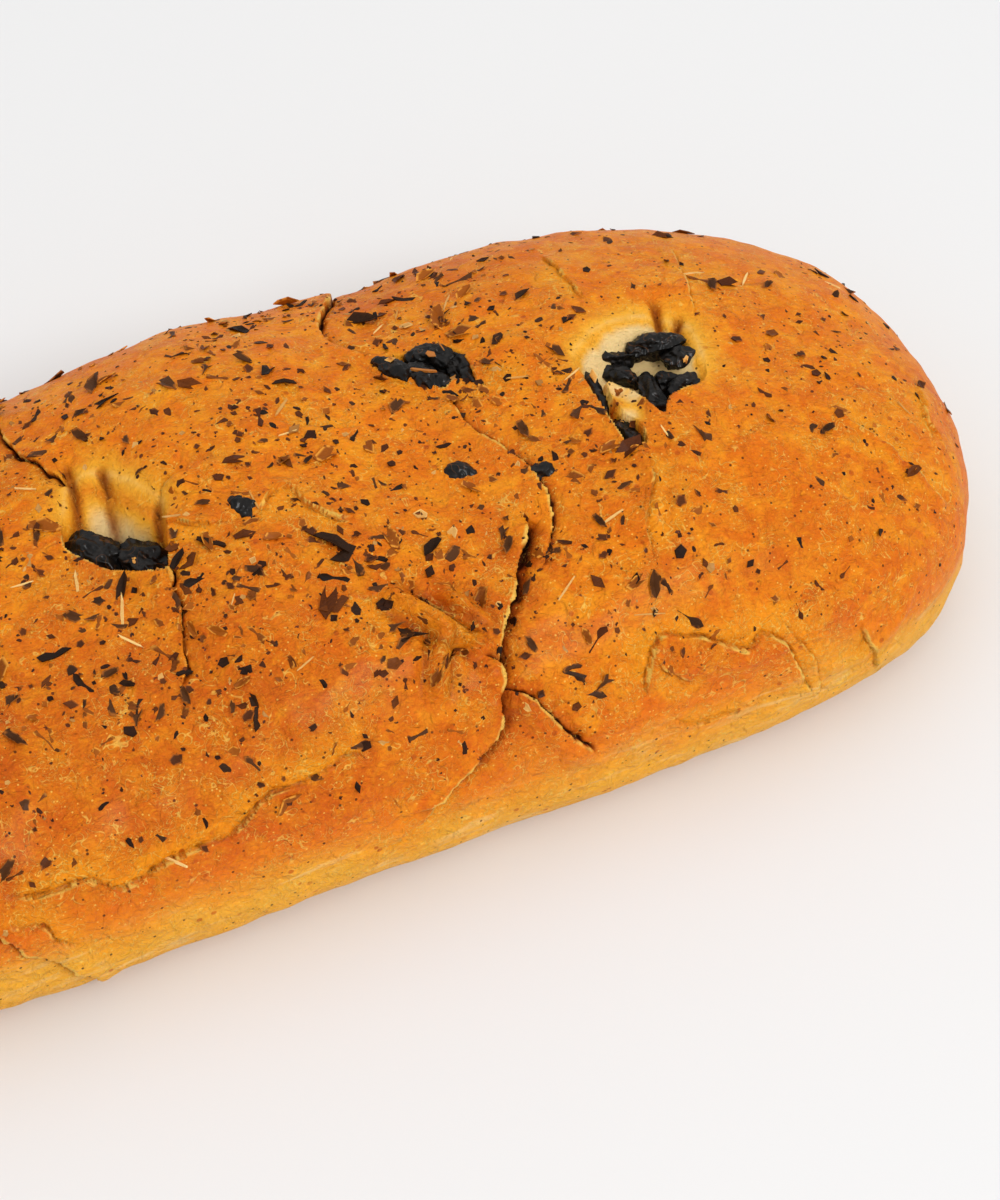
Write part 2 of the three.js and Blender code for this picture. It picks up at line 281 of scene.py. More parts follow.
# %% Windows torn in the crust
# The rim is drawn in plan. depth is how far the floor lies under the crust. The far wall slopes and the near
# one is steep, so they reach the floor over different distances. pale_run is the distance over which the far
# wall turns from gold to cream, and dip is how far the far rim sags. halo is how pale the crust turns beyond
# the far rim, and over what distance. tongues are places where the near rim sags and turns pale: x, y and
# reach. creases run down the far wall.
WINDOWS = (
    dict(
        name="end window", depth=14, far_run=10, near_run=1.2, pale_run=6, dip=1.6, halo=(0.55, 4),
        tongues=(),
        rim=((-117, 9), (-112, 13), (-104, 12), (-99, 4), (-100, -7), (-108, -12), (-116, -6)),
        creases=(((-112, 17), (-111, 10), (-112, 2)), ((-104, 15), (-105, 8), (-107, 1))),
    ),
    dict(
        name="left window", depth=15, far_run=13, near_run=0.9, pale_run=10, dip=1.3, halo=(0.5, 4),
        tongues=(),
        rim=((-43, -0.3), (-41.5, 5.5), (-39, 11.7), (-36.5, 16.9), (-32, 17.8), (-27.5, 14.2), (-24, 8),
             (-21, 2), (-21.3, -4), (-22.5, -9), (-24, -14), (-26, -17.6), (-29.5, -16.2), (-33, -13.7),
             (-36.5, -11.4), (-39, -8), (-41.2, -4.5)),
        creases=(((-35, 21.5), (-35.5, 16), (-36.8, 10), (-38.5, 3.8)),
                 ((-29, 16.5), (-29.3, 11), (-30.5, 6.5), (-31.5, 1.8)),
                 ((-22, 1), (-23, -3), (-25, -9))),
    ),
    dict(
        name="middle window", depth=7, far_run=1.6, near_run=1.0, pale_run=0.7, dip=0.5, halo=(0.25, 2),
        tongues=(),
        rim=((35, 20.8), (38, 22.6), (42, 21.6), (46, 21.4), (49, 20.4), (52, 17.6), (53, 13), (52.8, 8),
             (51.8, 5), (50, 7.4), (47.5, 8), (45, 6.8), (43, 9.2), (40.5, 12.9), (37, 16), (34.8, 18.6)),
        creases=(),
    ),
    dict(
        name="right window", depth=9.5, far_run=8.5, near_run=0.9, pale_run=3.8, dip=1.2, halo=(0.5, 4.5),
        tongues=((77.6, -8.5, 4.2), (80.5, -12, 3.6), (77, -17, 3.2)),
        rim=((73.5, 3.9), (78, 7.4), (83, 10), (90, 11), (97, 9.4), (101.5, 6), (101.8, 1.4), (100.5, -4.3),
             (98.5, -10.7), (95, -13.6), (90.5, -15.1), (86.5, -17), (83.5, -20.6), (82, -16.4), (81, -11.5),
             (79, -8.2), (76.4, -6.2), (75.1, -10.3), (75.2, -14.8), (76.8, -18.2), (77.6, -22), (77, -25.4),
             (74.8, -26.6), (72.7, -25), (71.8, -16.4), (71.7, -8), (72.2, -2), (72.6, 1)),
        creases=(((98, 14), (96.5, 9), (95.5, 5)), ((101, 8), (98.5, 4), (97, -1))),
    ),
)


def rim_line(rim, pieces=5):
    """The rim as a smooth closed curve in plan, in millimetres about the core."""
    closed = smooth_line([rim[-1], *rim, rim[0], rim[1]], pieces)
    return closed[pieces:-pieces]


for window in WINDOWS:
    window["line"] = rim_line(window["rim"])
    print(window["name"], "rim has", len(window["line"]), "points")

# %% [markdown]
# ## A blank with faces where they are needed
# The blank is a cube that is cut into strips along each axis and then blown out onto the skin. Faces of about
# two millimetres are enough for the plain crust. Laps and torn rims have edges as thin as paper, so faces
# near them are cut again, in narrower and narrower bands. An even mesh as fine as that would be many times
# as heavy. The bottom is left open until the end, because a flat base needs only a few faces.

# %% Distances to lines
SHORTEST = 1e-9  # shorter spans of a line are passed over, in millimetres


def along_line(points, line):
    """For each point: the distance to a line, the nearest place, the way it runs there and how far along."""
    best = np.full(len(points), np.inf)
    nearest = np.zeros_like(points)
    heading = np.zeros_like(points)
    run = np.zeros(len(points))
    travelled = 0.0
    for start, end in zip(line, line[1:]):
        span = end - start
        length = np.linalg.norm(span)
        if length < SHORTEST:
            continue
        share = np.clip((points - start) @ span / length**2, 0, 1)
        place = start + share[:, None] * span
        distance = np.linalg.norm(points - place, axis=1)
        closer = distance < best
        best[closer] = distance[closer]
        nearest[closer] = place[closer]
        heading[closer] = span / length
        run[closer] = travelled + share[closer] * length
        travelled += length
    return best, nearest, heading, run, travelled


def within(points, line, reach):
    """Which points may lie within reach of a line: those in a ball around it."""
    middle = line.mean(axis=0)
    size = np.linalg.norm(line - middle, axis=1).max()
    return np.flatnonzero(np.linalg.norm(points - middle, axis=1) < size + reach)


def nearest_distance(points, lines, reach):
    """The distance to the nearest of some lines, where that is less than reach."""
    nearest = np.full(len(points), np.inf)
    for line in lines:
        chosen = within(points, line, reach)
        nearest[chosen] = np.minimum(nearest[chosen], along_line(points[chosen], line)[0])
    return nearest


def on_top_of(plan_lines):
    """Lines drawn in plan, dropped onto the top of the skin."""
    dropped = []
    for line in plan_lines:
        starts = np.column_stack([line, 0 * line[:, 0]])
        dropped.append(to_skin(starts, np.tile((0.0, 0.0, CROWN * 1.5), (len(line), 1))))
    return dropped


# %% Cut the blank
FACE = 1.8  # width of a plain face, in millimetres
SIDE_ROWS = 30  # rows of faces up each side
main_lines = lap_lines + on_top_of([window["line"] for window in WINDOWS])
all_lines = main_lines + skin_lines + [skin_places(smooth_line(places)) for _, _, places in ROLLS]
# The width of each band where faces are cut again, and the lines it follows.
FINE_BANDS = ((3.4, all_lines), (1.3, all_lines), (0.65, main_lines))


def cut_along(bm, axis, cuts):
    """Cuts every face into strips across one axis."""
    rails = [edge for edge in bm.edges if abs((edge.verts[0].co - edge.verts[1].co)[axis]) > 1e-6]
    bmesh.ops.subdivide_edges(bm, edges=rails, cuts=cuts, use_grid_fill=True)


def blow_out(cube_points):
    """Cube points to places on the skin, in millimetres about the core."""
    tall = np.where(cube_points[:, 2] > 0, CROWN, BELLY)
    rays = cube_points * np.stack([HALF_LENGTH + 0 * tall, HALF_WIDTH + 0 * tall, tall], axis=1)
    return to_skin(0 * rays, rays)


blank = bmesh.new()
bmesh.ops.create_cube(blank, size=2)
bottom = min(blank.faces, key=lambda face: face.calc_center_median().z)
bmesh.ops.delete(blank, geom=[bottom], context="FACES_ONLY")
cut_along(blank, 0, round(2 * HALF_LENGTH / FACE))
cut_along(blank, 1, round(2 * HALF_WIDTH / FACE))
cut_along(blank, 2, SIDE_ROWS)
for band, lines in FINE_BANDS:
    middles = blow_out(np.array([face.calc_center_median() for face in blank.faces]))
    near = nearest_distance(middles, lines, band) < band
    edges = [edge for face, wanted in zip(blank.faces, near) if wanted for edge in face.edges]
    bmesh.ops.subdivide_edges(blank, edges=list(dict.fromkeys(edges)), cuts=1, use_grid_fill=True)
    print("within", band, "mm of a line cut again:", len(blank.faces), "faces")

# %% Blow out the blank and work the laps into it
LAP_REACH = 5.5  # how far from its line a lap still lifts the crust, in millimetres
EDGE_ROUNDING = 0.35
HANG_REACH = 1.2
FULL_LIP = 1.1  # a lip this high or higher is marked fully
TORN_REACH = 7
SKIN_REACH = 4.0
SKIN_HANG = 0.15
SKIN_GAP = 0.5
SKIN_FADES = (6, 6)
# Painted shade: the strength of the dark crease painted beside a torn skin.
SKIN_CREASE_SHADING = 0.12  # how dark the crease is beside a torn skin; beside a lap it is 1
ROLL_FADE = 4  # length over which a roll dies out at its ends, in millimetres
# Painted shade in the furrows beside a roll.
ROLL_FURROW_SHADING = 0.16
cube_points = np.array([vertex.co for vertex in blank.verts])
skin = blow_out(cube_points)
normals = skin_normals(skin)
lift = np.zeros(len(skin))
drift = np.zeros_like(skin)
# The crease attribute holds painted shade for creases and furrows.
marks = {name: np.zeros(len(skin)) for name in ("lip", "crease", "cream", "torn")}
broken = lumps(skin, 5.0, seed=1) + 0.5 * lumps(skin, 1.7, seed=2)  # makes every edge run and fade unevenly


def mark(name, chosen, amount):
    marks[name][chosen] = np.maximum(marks[name][chosen], amount)


def lay_edge(line, over, lip, valley, hang, reach, gap, fades, dark):
    """Raises one side of a line into a thin lip and sinks the other side beside it."""
    chosen = within(skin, line, 4 * reach)
    distance, place, heading, run, whole = along_line(skin[chosen], line)
    leftward = np.cross(normals[chosen], heading)
    away = skin[chosen] - place
    left = np.sign(np.einsum("ij,ij->i", away, leftward)) * distance
    above = over * left + 0.6 * broken[chosen]
    size = np.abs(above)
    strength = smooth(run, 0, fades[0]) * smooth(whole - run, 0, fades[1]) * (distance < 4 * reach)
    uneven = np.clip(1 + 0.5 * broken[chosen], 0.3, 1.7)
    edge = np.exp(-size / reach) * (1 - 0.5 * np.exp(-size / EDGE_ROUNDING))
    slot = 0.55 * np.exp(-size / (0.45 * reach)) + 0.7 * np.exp(-((size / gap) ** 2))
    rise = np.where(above > 0, lip * edge, -valley * slot)
    lift[chosen] += strength * uneven * rise
    overhang = hang * uneven * np.exp(-size / HANG_REACH) * (above > 0)
    drift[chosen] -= (strength * overhang * over)[:, None] * leftward
    thin = (above > 0) * (1 - smooth(size, 0.2, 1.0)) * smooth(broken[chosen], -0.6, 0.4)
    mark("lip", chosen, min(1, lip / FULL_LIP) * strength * thin)
    # Painted shade in the slot beside the lip, strongest in the narrow gap.
    crease_shade_falloff = np.exp(-((size / gap) ** 2)) + 0.4 * np.exp(-size / (2.5 * gap))
    mark("crease", chosen, dark * strength * uneven * (above <= 0) * crease_shade_falloff)
    mark("torn", chosen, (1 - dark) * strength * (above <= 0) * np.exp(-((size / TORN_REACH) ** 2)))


for (_, over, lip, valley, hang, gap, fades, _), line in zip(LAPS, lap_lines):
    lay_edge(line, over, lip, valley, hang, LAP_REACH, gap, fades, dark=1.0)
for (_, over, lip, valley, _), line in zip(SKINS, skin_lines):
    lay_edge(line, over, 1.4 * lip, 0.8 * valley, SKIN_HANG, SKIN_REACH, SKIN_GAP, SKIN_FADES, SKIN_CREASE_SHADING)
for place, reach, rise in BUBBLES:
    away = np.linalg.norm(skin - skin_places([place])[0], axis=1)
    lift += rise * np.exp(-((away / reach) ** 2))
for half_width, rise, places in ROLLS:
    away, _, _, run, whole = along_line(skin, skin_places(smooth_line(places)))
    ends = smooth(run, 0, ROLL_FADE) * smooth(whole - run, 0, ROLL_FADE) * np.clip(1 + 0.6 * broken, 0.4, 1.6)
    furrow = np.exp(-(((away / half_width - 1.8) / 0.6) ** 2))
    lift += rise * ends * (np.exp(-((away / half_width) ** 2)) - 0.4 * furrow)
    # Painted shade along the furrow.
    mark("crease", slice(None), ROLL_FURROW_SHADING * rise * ends * furrow)
print("moved", int((np.abs(lift) > 0.1).sum()), "of", len(skin), "points")

# %% Sink the windows
FAR_WAY = np.array((0.41, 0.91))  # in plan, the way from a window's middle to the middle of its far wall
SEARCH = 38  # no window reaches further than this from its middle, in millimetres
RIM_ROLL = 0.35
RIM_LEAN = 0.8
TONGUE_SAG = 1.6  # in millimetres, like the roll and the lean of the rim
# Painted shade in the creases down a window's far wall.
WALL_CREASE_SHADING = 0.62


def inside_rim(plan, rim):
    """Whether each point lies inside a closed outline, by counting crossings."""
    inside = np.zeros(len(plan), bool)
    for (x1, y1), (x2, y2) in zip(rim, rim[1:]):
        if y1 == y2:
            continue
        crossing = (plan[:, 1] > y1) != (plan[:, 1] > y2)
        inside ^= crossing & (plan[:, 0] < x1 + (plan[:, 1] - y1) * (x2 - x1) / (y2 - y1))
    return inside


def sink_window(window):
    """Sinks the points near a window, rolls its rim and turns its walls pale. Counts the points inside."""
    rim = window["line"]
    middle = rim.mean(axis=0)
    around = np.flatnonzero((skin[:, 2] > 0) & (np.linalg.norm(skin[:, :2] - middle, axis=1) < SEARCH))
    plan = skin[around, :2]
    away, place, _, _, _ = along_line(plan, rim)
    inside = inside_rim(plan, rim)
    outward = (place - middle) / np.linalg.norm(place - middle, axis=1)[:, None]
    farness = smooth(outward @ FAR_WAY, -0.35, 0.7)
    reach = window["near_run"] + (window["far_run"] - window["near_run"]) * farness
    share = np.clip(away / reach, 0, 1)
    wall = farness * (0.45 * share + 0.55 * share**2) + (1 - farness) * share**0.55
    dip = window["dip"] * farness * np.where(inside, 1, np.exp(-away / 3.5))
    depth = dip + inside * (window["depth"] - dip) * wall
    turning = smooth(away + 0.8 * broken[around], 0, 0.6 + window["pale_run"] * farness)
    pale = inside * turning * (0.8 + 0.2 * farness)
    halo, halo_reach = window["halo"]
    pale = np.maximum(pale, halo * farness * np.exp(-away / halo_reach))
    for x, y, tongue_reach in window["tongues"]:
        nearness = np.exp(-((np.linalg.norm(plan - (x, y), axis=1) / tongue_reach) ** 2))
        depth += TONGUE_SAG * nearness * (1 - inside * wall)
        pale = np.maximum(pale, 0.75 * nearness)
    for crease in window["creases"]:
        beside = along_line(plan, smooth_line(crease))[0]
        grooved = np.maximum(smooth(away * inside, 0, 3), smooth(farness, 0.2, 0.6))
        depth += grooved * (2.2 * np.exp(-((beside / 0.9) ** 2)) + 1.6 * np.exp(-beside / 2.2))
        # Painted shade in the groove.
        mark("crease", around, WALL_CREASE_SHADING * grooved * np.exp(-((beside / 1.1) ** 2)))
    sink[around] += depth
    rolled = RIM_ROLL * np.exp(-((away / 1.2) ** 2)) * (1 - farness) * ~inside
    lift[around] += rolled * (1 + broken[around])
    lean = RIM_LEAN * np.exp(-away / 1.0) * (1 - farness) * ~inside
    drift[around, :2] -= lean[:, None] * outward
    mark("cream", around, pale)
    thin = np.exp(-((away / 0.45) ** 2)) * (1 - farness) * smooth(broken[around], -0.6, 0.5)
    mark("lip", around, 0.9 * thin)
    return int(inside.sum())


sink = np.zeros(len(skin))
for window in WINDOWS:
    print(window["name"], "floor", window["depth"], "mm down,", sink_window(window), "points inside")

# %% Small unevenness, the flat base and the mesh
BASE_RINGS = (0.95, 0.85, 0.7, 0.4)  # how much each ring under the loaf shrinks
BASE_ROUNDING = 7.0  # height over which the side curls in to the flat base
UNEVENNESS = ((0.9, 34, 3), (0.6, 11, 4), (0.3, 4.5, 5))  # rise, size and seed of the lumps of each size

shaped = skin + normals * lift[:, None] + drift
for rise, width, seed in UNEVENNESS:
    shaped += normals * (rise * lumps(skin, width, seed))[:, None]
shaped[:, 2] += CORE_HEIGHT - sink
near_base = np.maximum(BASE_ROUNDING - np.abs(shaped[:, 2]), 0)
shaped[:, 2] = np.maximum(shaped[:, 2], 0) + near_base**2 / (4 * BASE_ROUNDING)
open_rim = np.array([vertex.is_boundary for vertex in blank.verts])
shaped[open_rim, 2] = 0
shaped[:, 1] += MIDLINE
for vertex, place in zip(blank.verts, shaped):
    vertex.co = place * MM
for name, values in marks.items():
    layer = blank.verts.layers.float.new(name)
    for vertex, value in zip(blank.verts, values):
        vertex[layer] = value


def close_base(bm):
    """Draws the open rim in over the flat bottom in a few rings, and fills the last one."""
    rim = [edge for edge in bm.edges if edge.is_boundary]
    for scale in BASE_RINGS:
        made = bmesh.ops.extrude_edge_only(bm, edges=rim)["geom"]
        corners = [item for item in made if isinstance(item, bmesh.types.BMVert)]
        rim = [item for item in made if isinstance(item, bmesh.types.BMEdge)]
        bmesh.ops.scale(bm, vec=(scale, scale, 1), verts=corners)
    bmesh.ops.contextual_create(bm, geom=rim)


def add_piece(name, bm, smooth_faces=True):
    """Turns a finished bmesh into an object at the origin."""
    mesh = bpy.data.meshes.new(name)
    bm.to_mesh(mesh)
    bm.free()
    mesh.polygons.foreach_set("use_smooth", [smooth_faces] * len(mesh.polygons))
    piece = bpy.data.objects.new(name, mesh)
    bpy.context.scene.collection.objects.link(piece)
    return piece


def triangles(piece):
    return sum(len(face.vertices) - 2 for face in piece.data.polygons)


close_base(blank)
bmesh.ops.recalc_face_normals(blank, faces=blank.faces)
crust = add_piece("crust", blank)
print("crust:", len(crust.data.polygons), "faces,", triangles(crust), "triangles")

# %% [markdown]
# ## Shader sums written as sums
# A finish is a network of nodes, and most of the nodes only add or multiply. This small class wraps a
# socket, so that `1 - mask * 0.5` adds the Math nodes by itself. Colours go through Mix nodes, because a
# Math node would turn them grey.

# %% A finish under construction
class Level:
    """A number that varies over the surface: one output socket of a finish."""

    def __init__(self, finish, socket):
        self.finish = finish
        self.socket = socket

    def _sum(self, operation, first, second=0.0):
        made = self.finish.node("ShaderNodeMath", {"operation": operation}, {0: first, 1: second})
        return Level(self.finish, made.outputs[0])

    def __add__(self, other):
        return self._sum("ADD", self, other)

    def __radd__(self, other):
        return self._sum("ADD", other, self)

    def __sub__(self, other):
        return self._sum("SUBTRACT", self, other)

    def __rsub__(self, other):
        return self._sum("SUBTRACT", other, self)

    def __mul__(self, other):
        return self._sum("MULTIPLY", self, other)

    def __rmul__(self, other):
        return self._sum("MULTIPLY", other, self)

    def __abs__(self):
        return self._sum("ABSOLUTE", self)

    def step(self, low, high):
        """An S-shaped step from 0 at low to 1 at high."""
        settings = {"interpolation_type": "SMOOTHSTEP", "clamp": True}
        values = {"Value": self, "From Min": low, "From Max": high}
        made = self.finish.node("ShaderNodeMapRange", settings, values)
        return Level(self.finish, made.outputs["Result"])


class Finish:
    """A material being made, with its node tree and its shader."""

    def __init__(self, name, **surface):
        self.material = bpy.data.materials.new(name)
        self.material.use_nodes = True
        self.tree = self.material.node_tree
        self.shader = self.tree.nodes["Principled BSDF"]
        self.fill(self.shader, surface)
        self.place = self.node("ShaderNodeTexCoord").outputs["Object"]

    def fill(self, node, values):
        for key, value in values.items():
            socket = node.inputs[key.replace("_", " ") if isinstance(key, str) else key]
            source = value.socket if isinstance(value, Level) else value
            if isinstance(source, bpy.types.NodeSocket):
                self.tree.links.new(source, socket)
            else:
                socket.default_value = source

    def node(self, kind, settings=None, values=None):
        """Adds a node: its settings first, and then the values or links of its sockets."""
        made = self.tree.nodes.new(kind)
        for key, value in (settings or {}).items():
            setattr(made, key, value)
        self.fill(made, values or {})
        return made

    def mark(self, name):
        made = self.node("ShaderNodeAttribute", {"attribute_name": name})
        return Level(self, made.outputs["Fac"])

    def noise(self, size, detail=2.0, roughness=0.5, stretch=(1, 1, 1), twist=0.0, turn=0.0):
        """Noise with lumps of about the given size in millimetres, around 0.5."""
        scale = tuple(1 / (size * MM * s) for s in stretch)
        mapping = {"Vector": self.place, "Scale": scale, "Rotation": (0, 0, math.radians(turn))}
        scaled = self.node("ShaderNodeMapping", {}, mapping)
        values = {"Vector": scaled.outputs[0], "Scale": 1.0, "Detail": detail, "Roughness": roughness}
        made = self.node("ShaderNodeTexNoise", {}, {**values, "Distortion": twist})
        return Level(self, made.outputs["Fac"])

    def threads(self, size, width, twist, turn=0.0):
        """Thin curling threads: the places where a noise crosses its middle value."""
        level = self.noise(size, detail=0.0, twist=twist, turn=turn)
        return 1 - abs(level - 0.5).step(0.0, width)

    def dots(self, size, radius, keep):
        """Dots of a radius in millimetres, one in a cell of the given size, kept in patches."""
        cells = self.node("ShaderNodeTexVoronoi", {}, {"Vector": self.place, "Scale": 1 / (size * MM)})
        near = 1 - Level(self, cells.outputs["Distance"])
        dot = near.step(1 - 1.25 * radius / size, 1 - 0.75 * radius / size)
        return dot * self.noise(2.3 * size, detail=1).step(keep, keep + 0.1)

    def mix(self, share, first, second):
        made = self.node("ShaderNodeMix", {"data_type": "RGBA"}, {0: share, 6: first, 7: second})
        return made.outputs[2]

    def relief(self, height, depth, under=None):
        """Turns a height into a normal. depth is in millimetres for a height of 1."""
        values = {"Height": height, "Strength": 1.0, "Distance": depth * MM}
        made = self.node("ShaderNodeBump", {}, values)
        if under is not None:
            self.tree.links.new(under, made.inputs["Normal"])
        return made.outputs["Normal"]


# %% [markdown]
# ## The crust
# Egg wash bakes to a clear satin glaze over orange-gold skin. The top is browner where the oven was hotter,
# and the sides near the tray stay pale yellow. The dough was stretched when it was shaped, so its skin shows
# fine curling threads and dark flecks. Pale dots stand partly for blisters and partly for painted glints.
# They are too small for the mesh, so they live in the colour and in a fine relief, while laps and windows
# bring their own marks as attributes, among them the painted shade of the creases.

# %% Colours of the crust
GOLD = linear(240, 122, 6)
AMBER = linear(255, 158, 22)
RUST = linear(196, 82, 8)
EMBER = linear(236, 102, 16)
STRAW = linear(255, 182, 50)
CREAM = linear(250, 214, 148)
LIP = linear(255, 208, 96)
# Painted shade for the creases: brown, and nearly black where they are deepest.
CREASE_SHADE_BROWN = linear(158, 66, 8)
CREASE_SHADE_DARK = linear(58, 20, 4)
FLECK = linear(64, 22, 5)
# Pale strands, and pale dots that are partly blisters and partly painted glints.
PALE_STRAND_AND_GLINT = linear(255, 204, 92)


# %% The crust's finish
def baked_colour(finish, along, nearness, height, blotch, broad, fibre):
    """The colour of the plain skin: gold, browned on top and pale down the sides."""
    colour = finish.mix(blotch.step(0.35, 0.72), GOLD, AMBER)
    browned = (1 - broad).step(0.42, 0.72) * 0.5
    # Darker along the near edge of the top, more so towards the left end.
    near_top = (nearness * -1).step(-0.01, 0.06) * height.step(0.02, 0.036)
    near_top = near_top * (0.8 - along.step(-0.03, 0.06) * 0.5)
    colour = finish.mix((browned + near_top) * (1.15 - blotch), colour, RUST)
    colour = finish.mix(fibre.step(0.5, 0.72) * 0.55, colour, AMBER)
    colour = finish.mix((1 - fibre).step(0.5, 0.75) * 0.5, colour, RUST)
    waver = (broad - 0.5) * 0.03 + (blotch - 0.5) * 0.016
    flush = (height + waver).step(0.014, 0.024) * (1 - (height + waver).step(0.026, 0.04))
    colour = finish.mix(flush * 0.4, colour, EMBER)
    side = 1 - (height + waver).step(0.01, 0.031)
    colour = finish.mix(side * 0.9, colour, STRAW)
    streaks = finish.noise(9, detail=4, roughness=0.7, stretch=(2.4, 1, 0.35), twist=0.8)
    colour = finish.mix(side * streaks.step(0.5, 0.72) * 0.6, colour, CREAM)
    tray = 1 - height.step(0.0002, 0.0012)
    return finish.mix(tray * 0.7, colour, linear(206, 124, 48))


def worked_colour(finish, colour, cream, torn, blotch):
    """Window walls turn straw and cream, torn skin amber and lips pale; painted shade turns creases brown and
    nearly black.
    """
    colour = finish.mix((cream + (blotch - 0.5) * 0.5 * cream).step(0.05, 0.5), colour, STRAW)
    colour = finish.mix((cream + (blotch - 0.5) * 0.3).step(0.35, 0.85), colour, CREAM)
    colour = finish.mix((torn + (blotch - 0.5) * torn).step(0.1, 1.3), colour, AMBER)
    colour = finish.mix(finish.mark("lip").step(0.25, 0.8) * 0.8, colour, LIP)
    # The crease attribute carries painted shade, which turns creases brown and then nearly black.
    crease = finish.mark("crease")
    colour = finish.mix(crease.step(0.0, 0.6) * 0.75, colour, CREASE_SHADE_BROWN)
    return finish.mix(crease.step(0.45, 1.0) * 0.95, colour, CREASE_SHADE_DARK)


def crust_finish():
    finish = Finish("glazed_crust", Coat_Roughness=0.28, Specular_IOR_Level=0.1)
    finish.fill(finish.shader, {"Subsurface Weight": 0.06, "Subsurface Scale": 2.0 * MM})
    finish.shader.inputs["Subsurface Radius"].default_value = (1.0, 0.4, 0.12)
    split = finish.node("ShaderNodeSeparateXYZ", {}, {"Vector": finish.place})
    along, nearness, height = (Level(finish, split.outputs[axis]) for axis in "XYZ")
    broad = finish.noise(30, detail=3)
    blotch = finish.noise(6, detail=4, roughness=0.6, twist=0.7)
    fibre = finish.noise(1.7, detail=5, roughness=0.7, stretch=(1.0, 0.5, 1.0), twist=1.8, turn=24)
    colour = baked_colour(finish, along, nearness, height, blotch, broad, fibre)

    cream, torn = finish.mark("cream"), finish.mark("torn")
    colour = worked_colour(finish, colour, cream, torn, blotch)
    closed = 1 - cream
    low_down = 1 - (height + (broad - 0.5) * 0.03).step(0.012, 0.03)
    bare = (torn * 0.22 + low_down * 0.12) * (1 - cream)
    threads = finish.threads(3.4, 0.03, twist=1.6) * (finish.noise(5, detail=1) + bare).step(0.48, 0.6)
    curls = finish.threads(2.1, 0.04, twist=2.4, turn=40) * (finish.noise(9, detail=1) + bare).step(0.5, 0.62)
    pale = (threads * 0.62 + curls * 0.5) * closed
    colour = finish.mix(pale, colour, PALE_STRAND_AND_GLINT)
    # Pale dots: blisters of the glaze, with painted glints.
    colour = finish.mix(finish.dots(1.3, 0.2, 0.44) * 0.7 * closed, colour, PALE_STRAND_AND_GLINT)
    specks = finish.dots(2.5, 0.3, 0.42)
    colour = finish.mix(specks * 0.85, colour, FLECK)
    seeds = finish.dots(4.6, 0.62, 0.47) * closed
    colour = finish.mix(seeds * 0.7, colour, RUST)
    finish.fill(finish.shader, {"Base Color": colour, "Roughness": 0.4 + 0.25 * fibre + 0.2 * cream})
    finish.fill(finish.shader, {"Coat Weight": 0.08 * closed})

    pores = finish.relief(fibre, 0.5)
    strands = finish.relief(pale, 0.14, under=pores)
    grain = finish.relief(finish.noise(0.55, detail=3), 0.18, under=strands)
    blisters = finish.relief(finish.noise(3.2, detail=3, twist=0.9) * closed, 1.8, under=grain)
    finish.fill(finish.shader, {"Normal": blisters})
    return finish.material


crust.data.materials.append(crust_finish())
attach(crust, "root")
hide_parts("loaf")
print("crust finish has", len(crust.data.materials[0].node_tree.nodes), "nodes")

# %% [markdown]
# ## Olives
# A baked olive dries to a black, leathery skin with sharp folds and a little oil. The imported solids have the
# right sizes and places but are coarse, so each gets a copy that is merged, smoothed by subdivision and then
# crumpled: points rise to sharp ridges where a smooth noise crosses zero.

# %% Shrivelled olives
RIDGE = 2.2  # rise of a sharp ridge where the noise crosses zero, in millimetres
ROUNDING_LEVELS = 3
WELD = 0.002  # corners closer than this are one corner, in millimetres
STOUT = 2.4  # a piece this thick, in millimetres, is crumpled fully, and a thinner one less


def rounded_copy(node):
    """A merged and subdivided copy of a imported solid's mesh, as a bmesh."""
    bm = bmesh.new()
    bm.from_mesh(node.data)
    bmesh.ops.remove_doubles(bm, verts=bm.verts, dist=WELD * MM)
    coarse = add_piece("coarse", bm)
    rounding = coarse.modifiers.new("rounding", "SUBSURF")
    rounding.levels = rounding.render_levels = ROUNDING_LEVELS
    bpy.context.view_layer.update()
    fine = bpy.data.meshes.new_from_object(coarse.evaluated_get(bpy.context.evaluated_depsgraph_get()))
    bpy.data.objects.remove(coarse)
    bm = bmesh.new()
    bm.from_mesh(fine)
    return bm


def long_axis(places):
    return np.linalg.svd(places - places.mean(axis=0), full_matrices=False)[2][0]


def shrivel(bm, seed):
    """Facets, sharp creases that run mostly along the piece, and fine wrinkles."""
    bm.normal_update()
    places = np.array([vertex.co for vertex in bm.verts]) / MM
    out = np.array([vertex.normal for vertex in bm.verts])
    along = long_axis(places)
    squeezed = places - 0.65 * np.outer(places @ along, along)
    ridge = 0.35 - np.abs(lumps(squeezed, 2.9, seed))
    facet = lumps(places, 4.2, seed + 1)
    crumple = 0.3 - np.abs(lumps(places, 1.5, seed + 2))
    thickness = 2 * np.linalg.svd(places - places.mean(axis=0), compute_uv=False)[2] / math.sqrt(len(places))
    stout = min(thickness / STOUT, 1)
    move = 0.4 - 0.3 * stout + stout * (0.7 * facet - 0.15 + RIDGE * ridge + 0.4 * RIDGE * crumple)
    moved = places + out * move[:, None]
    for vertex, place in zip(bm.verts, moved):
        vertex.co = place * MM


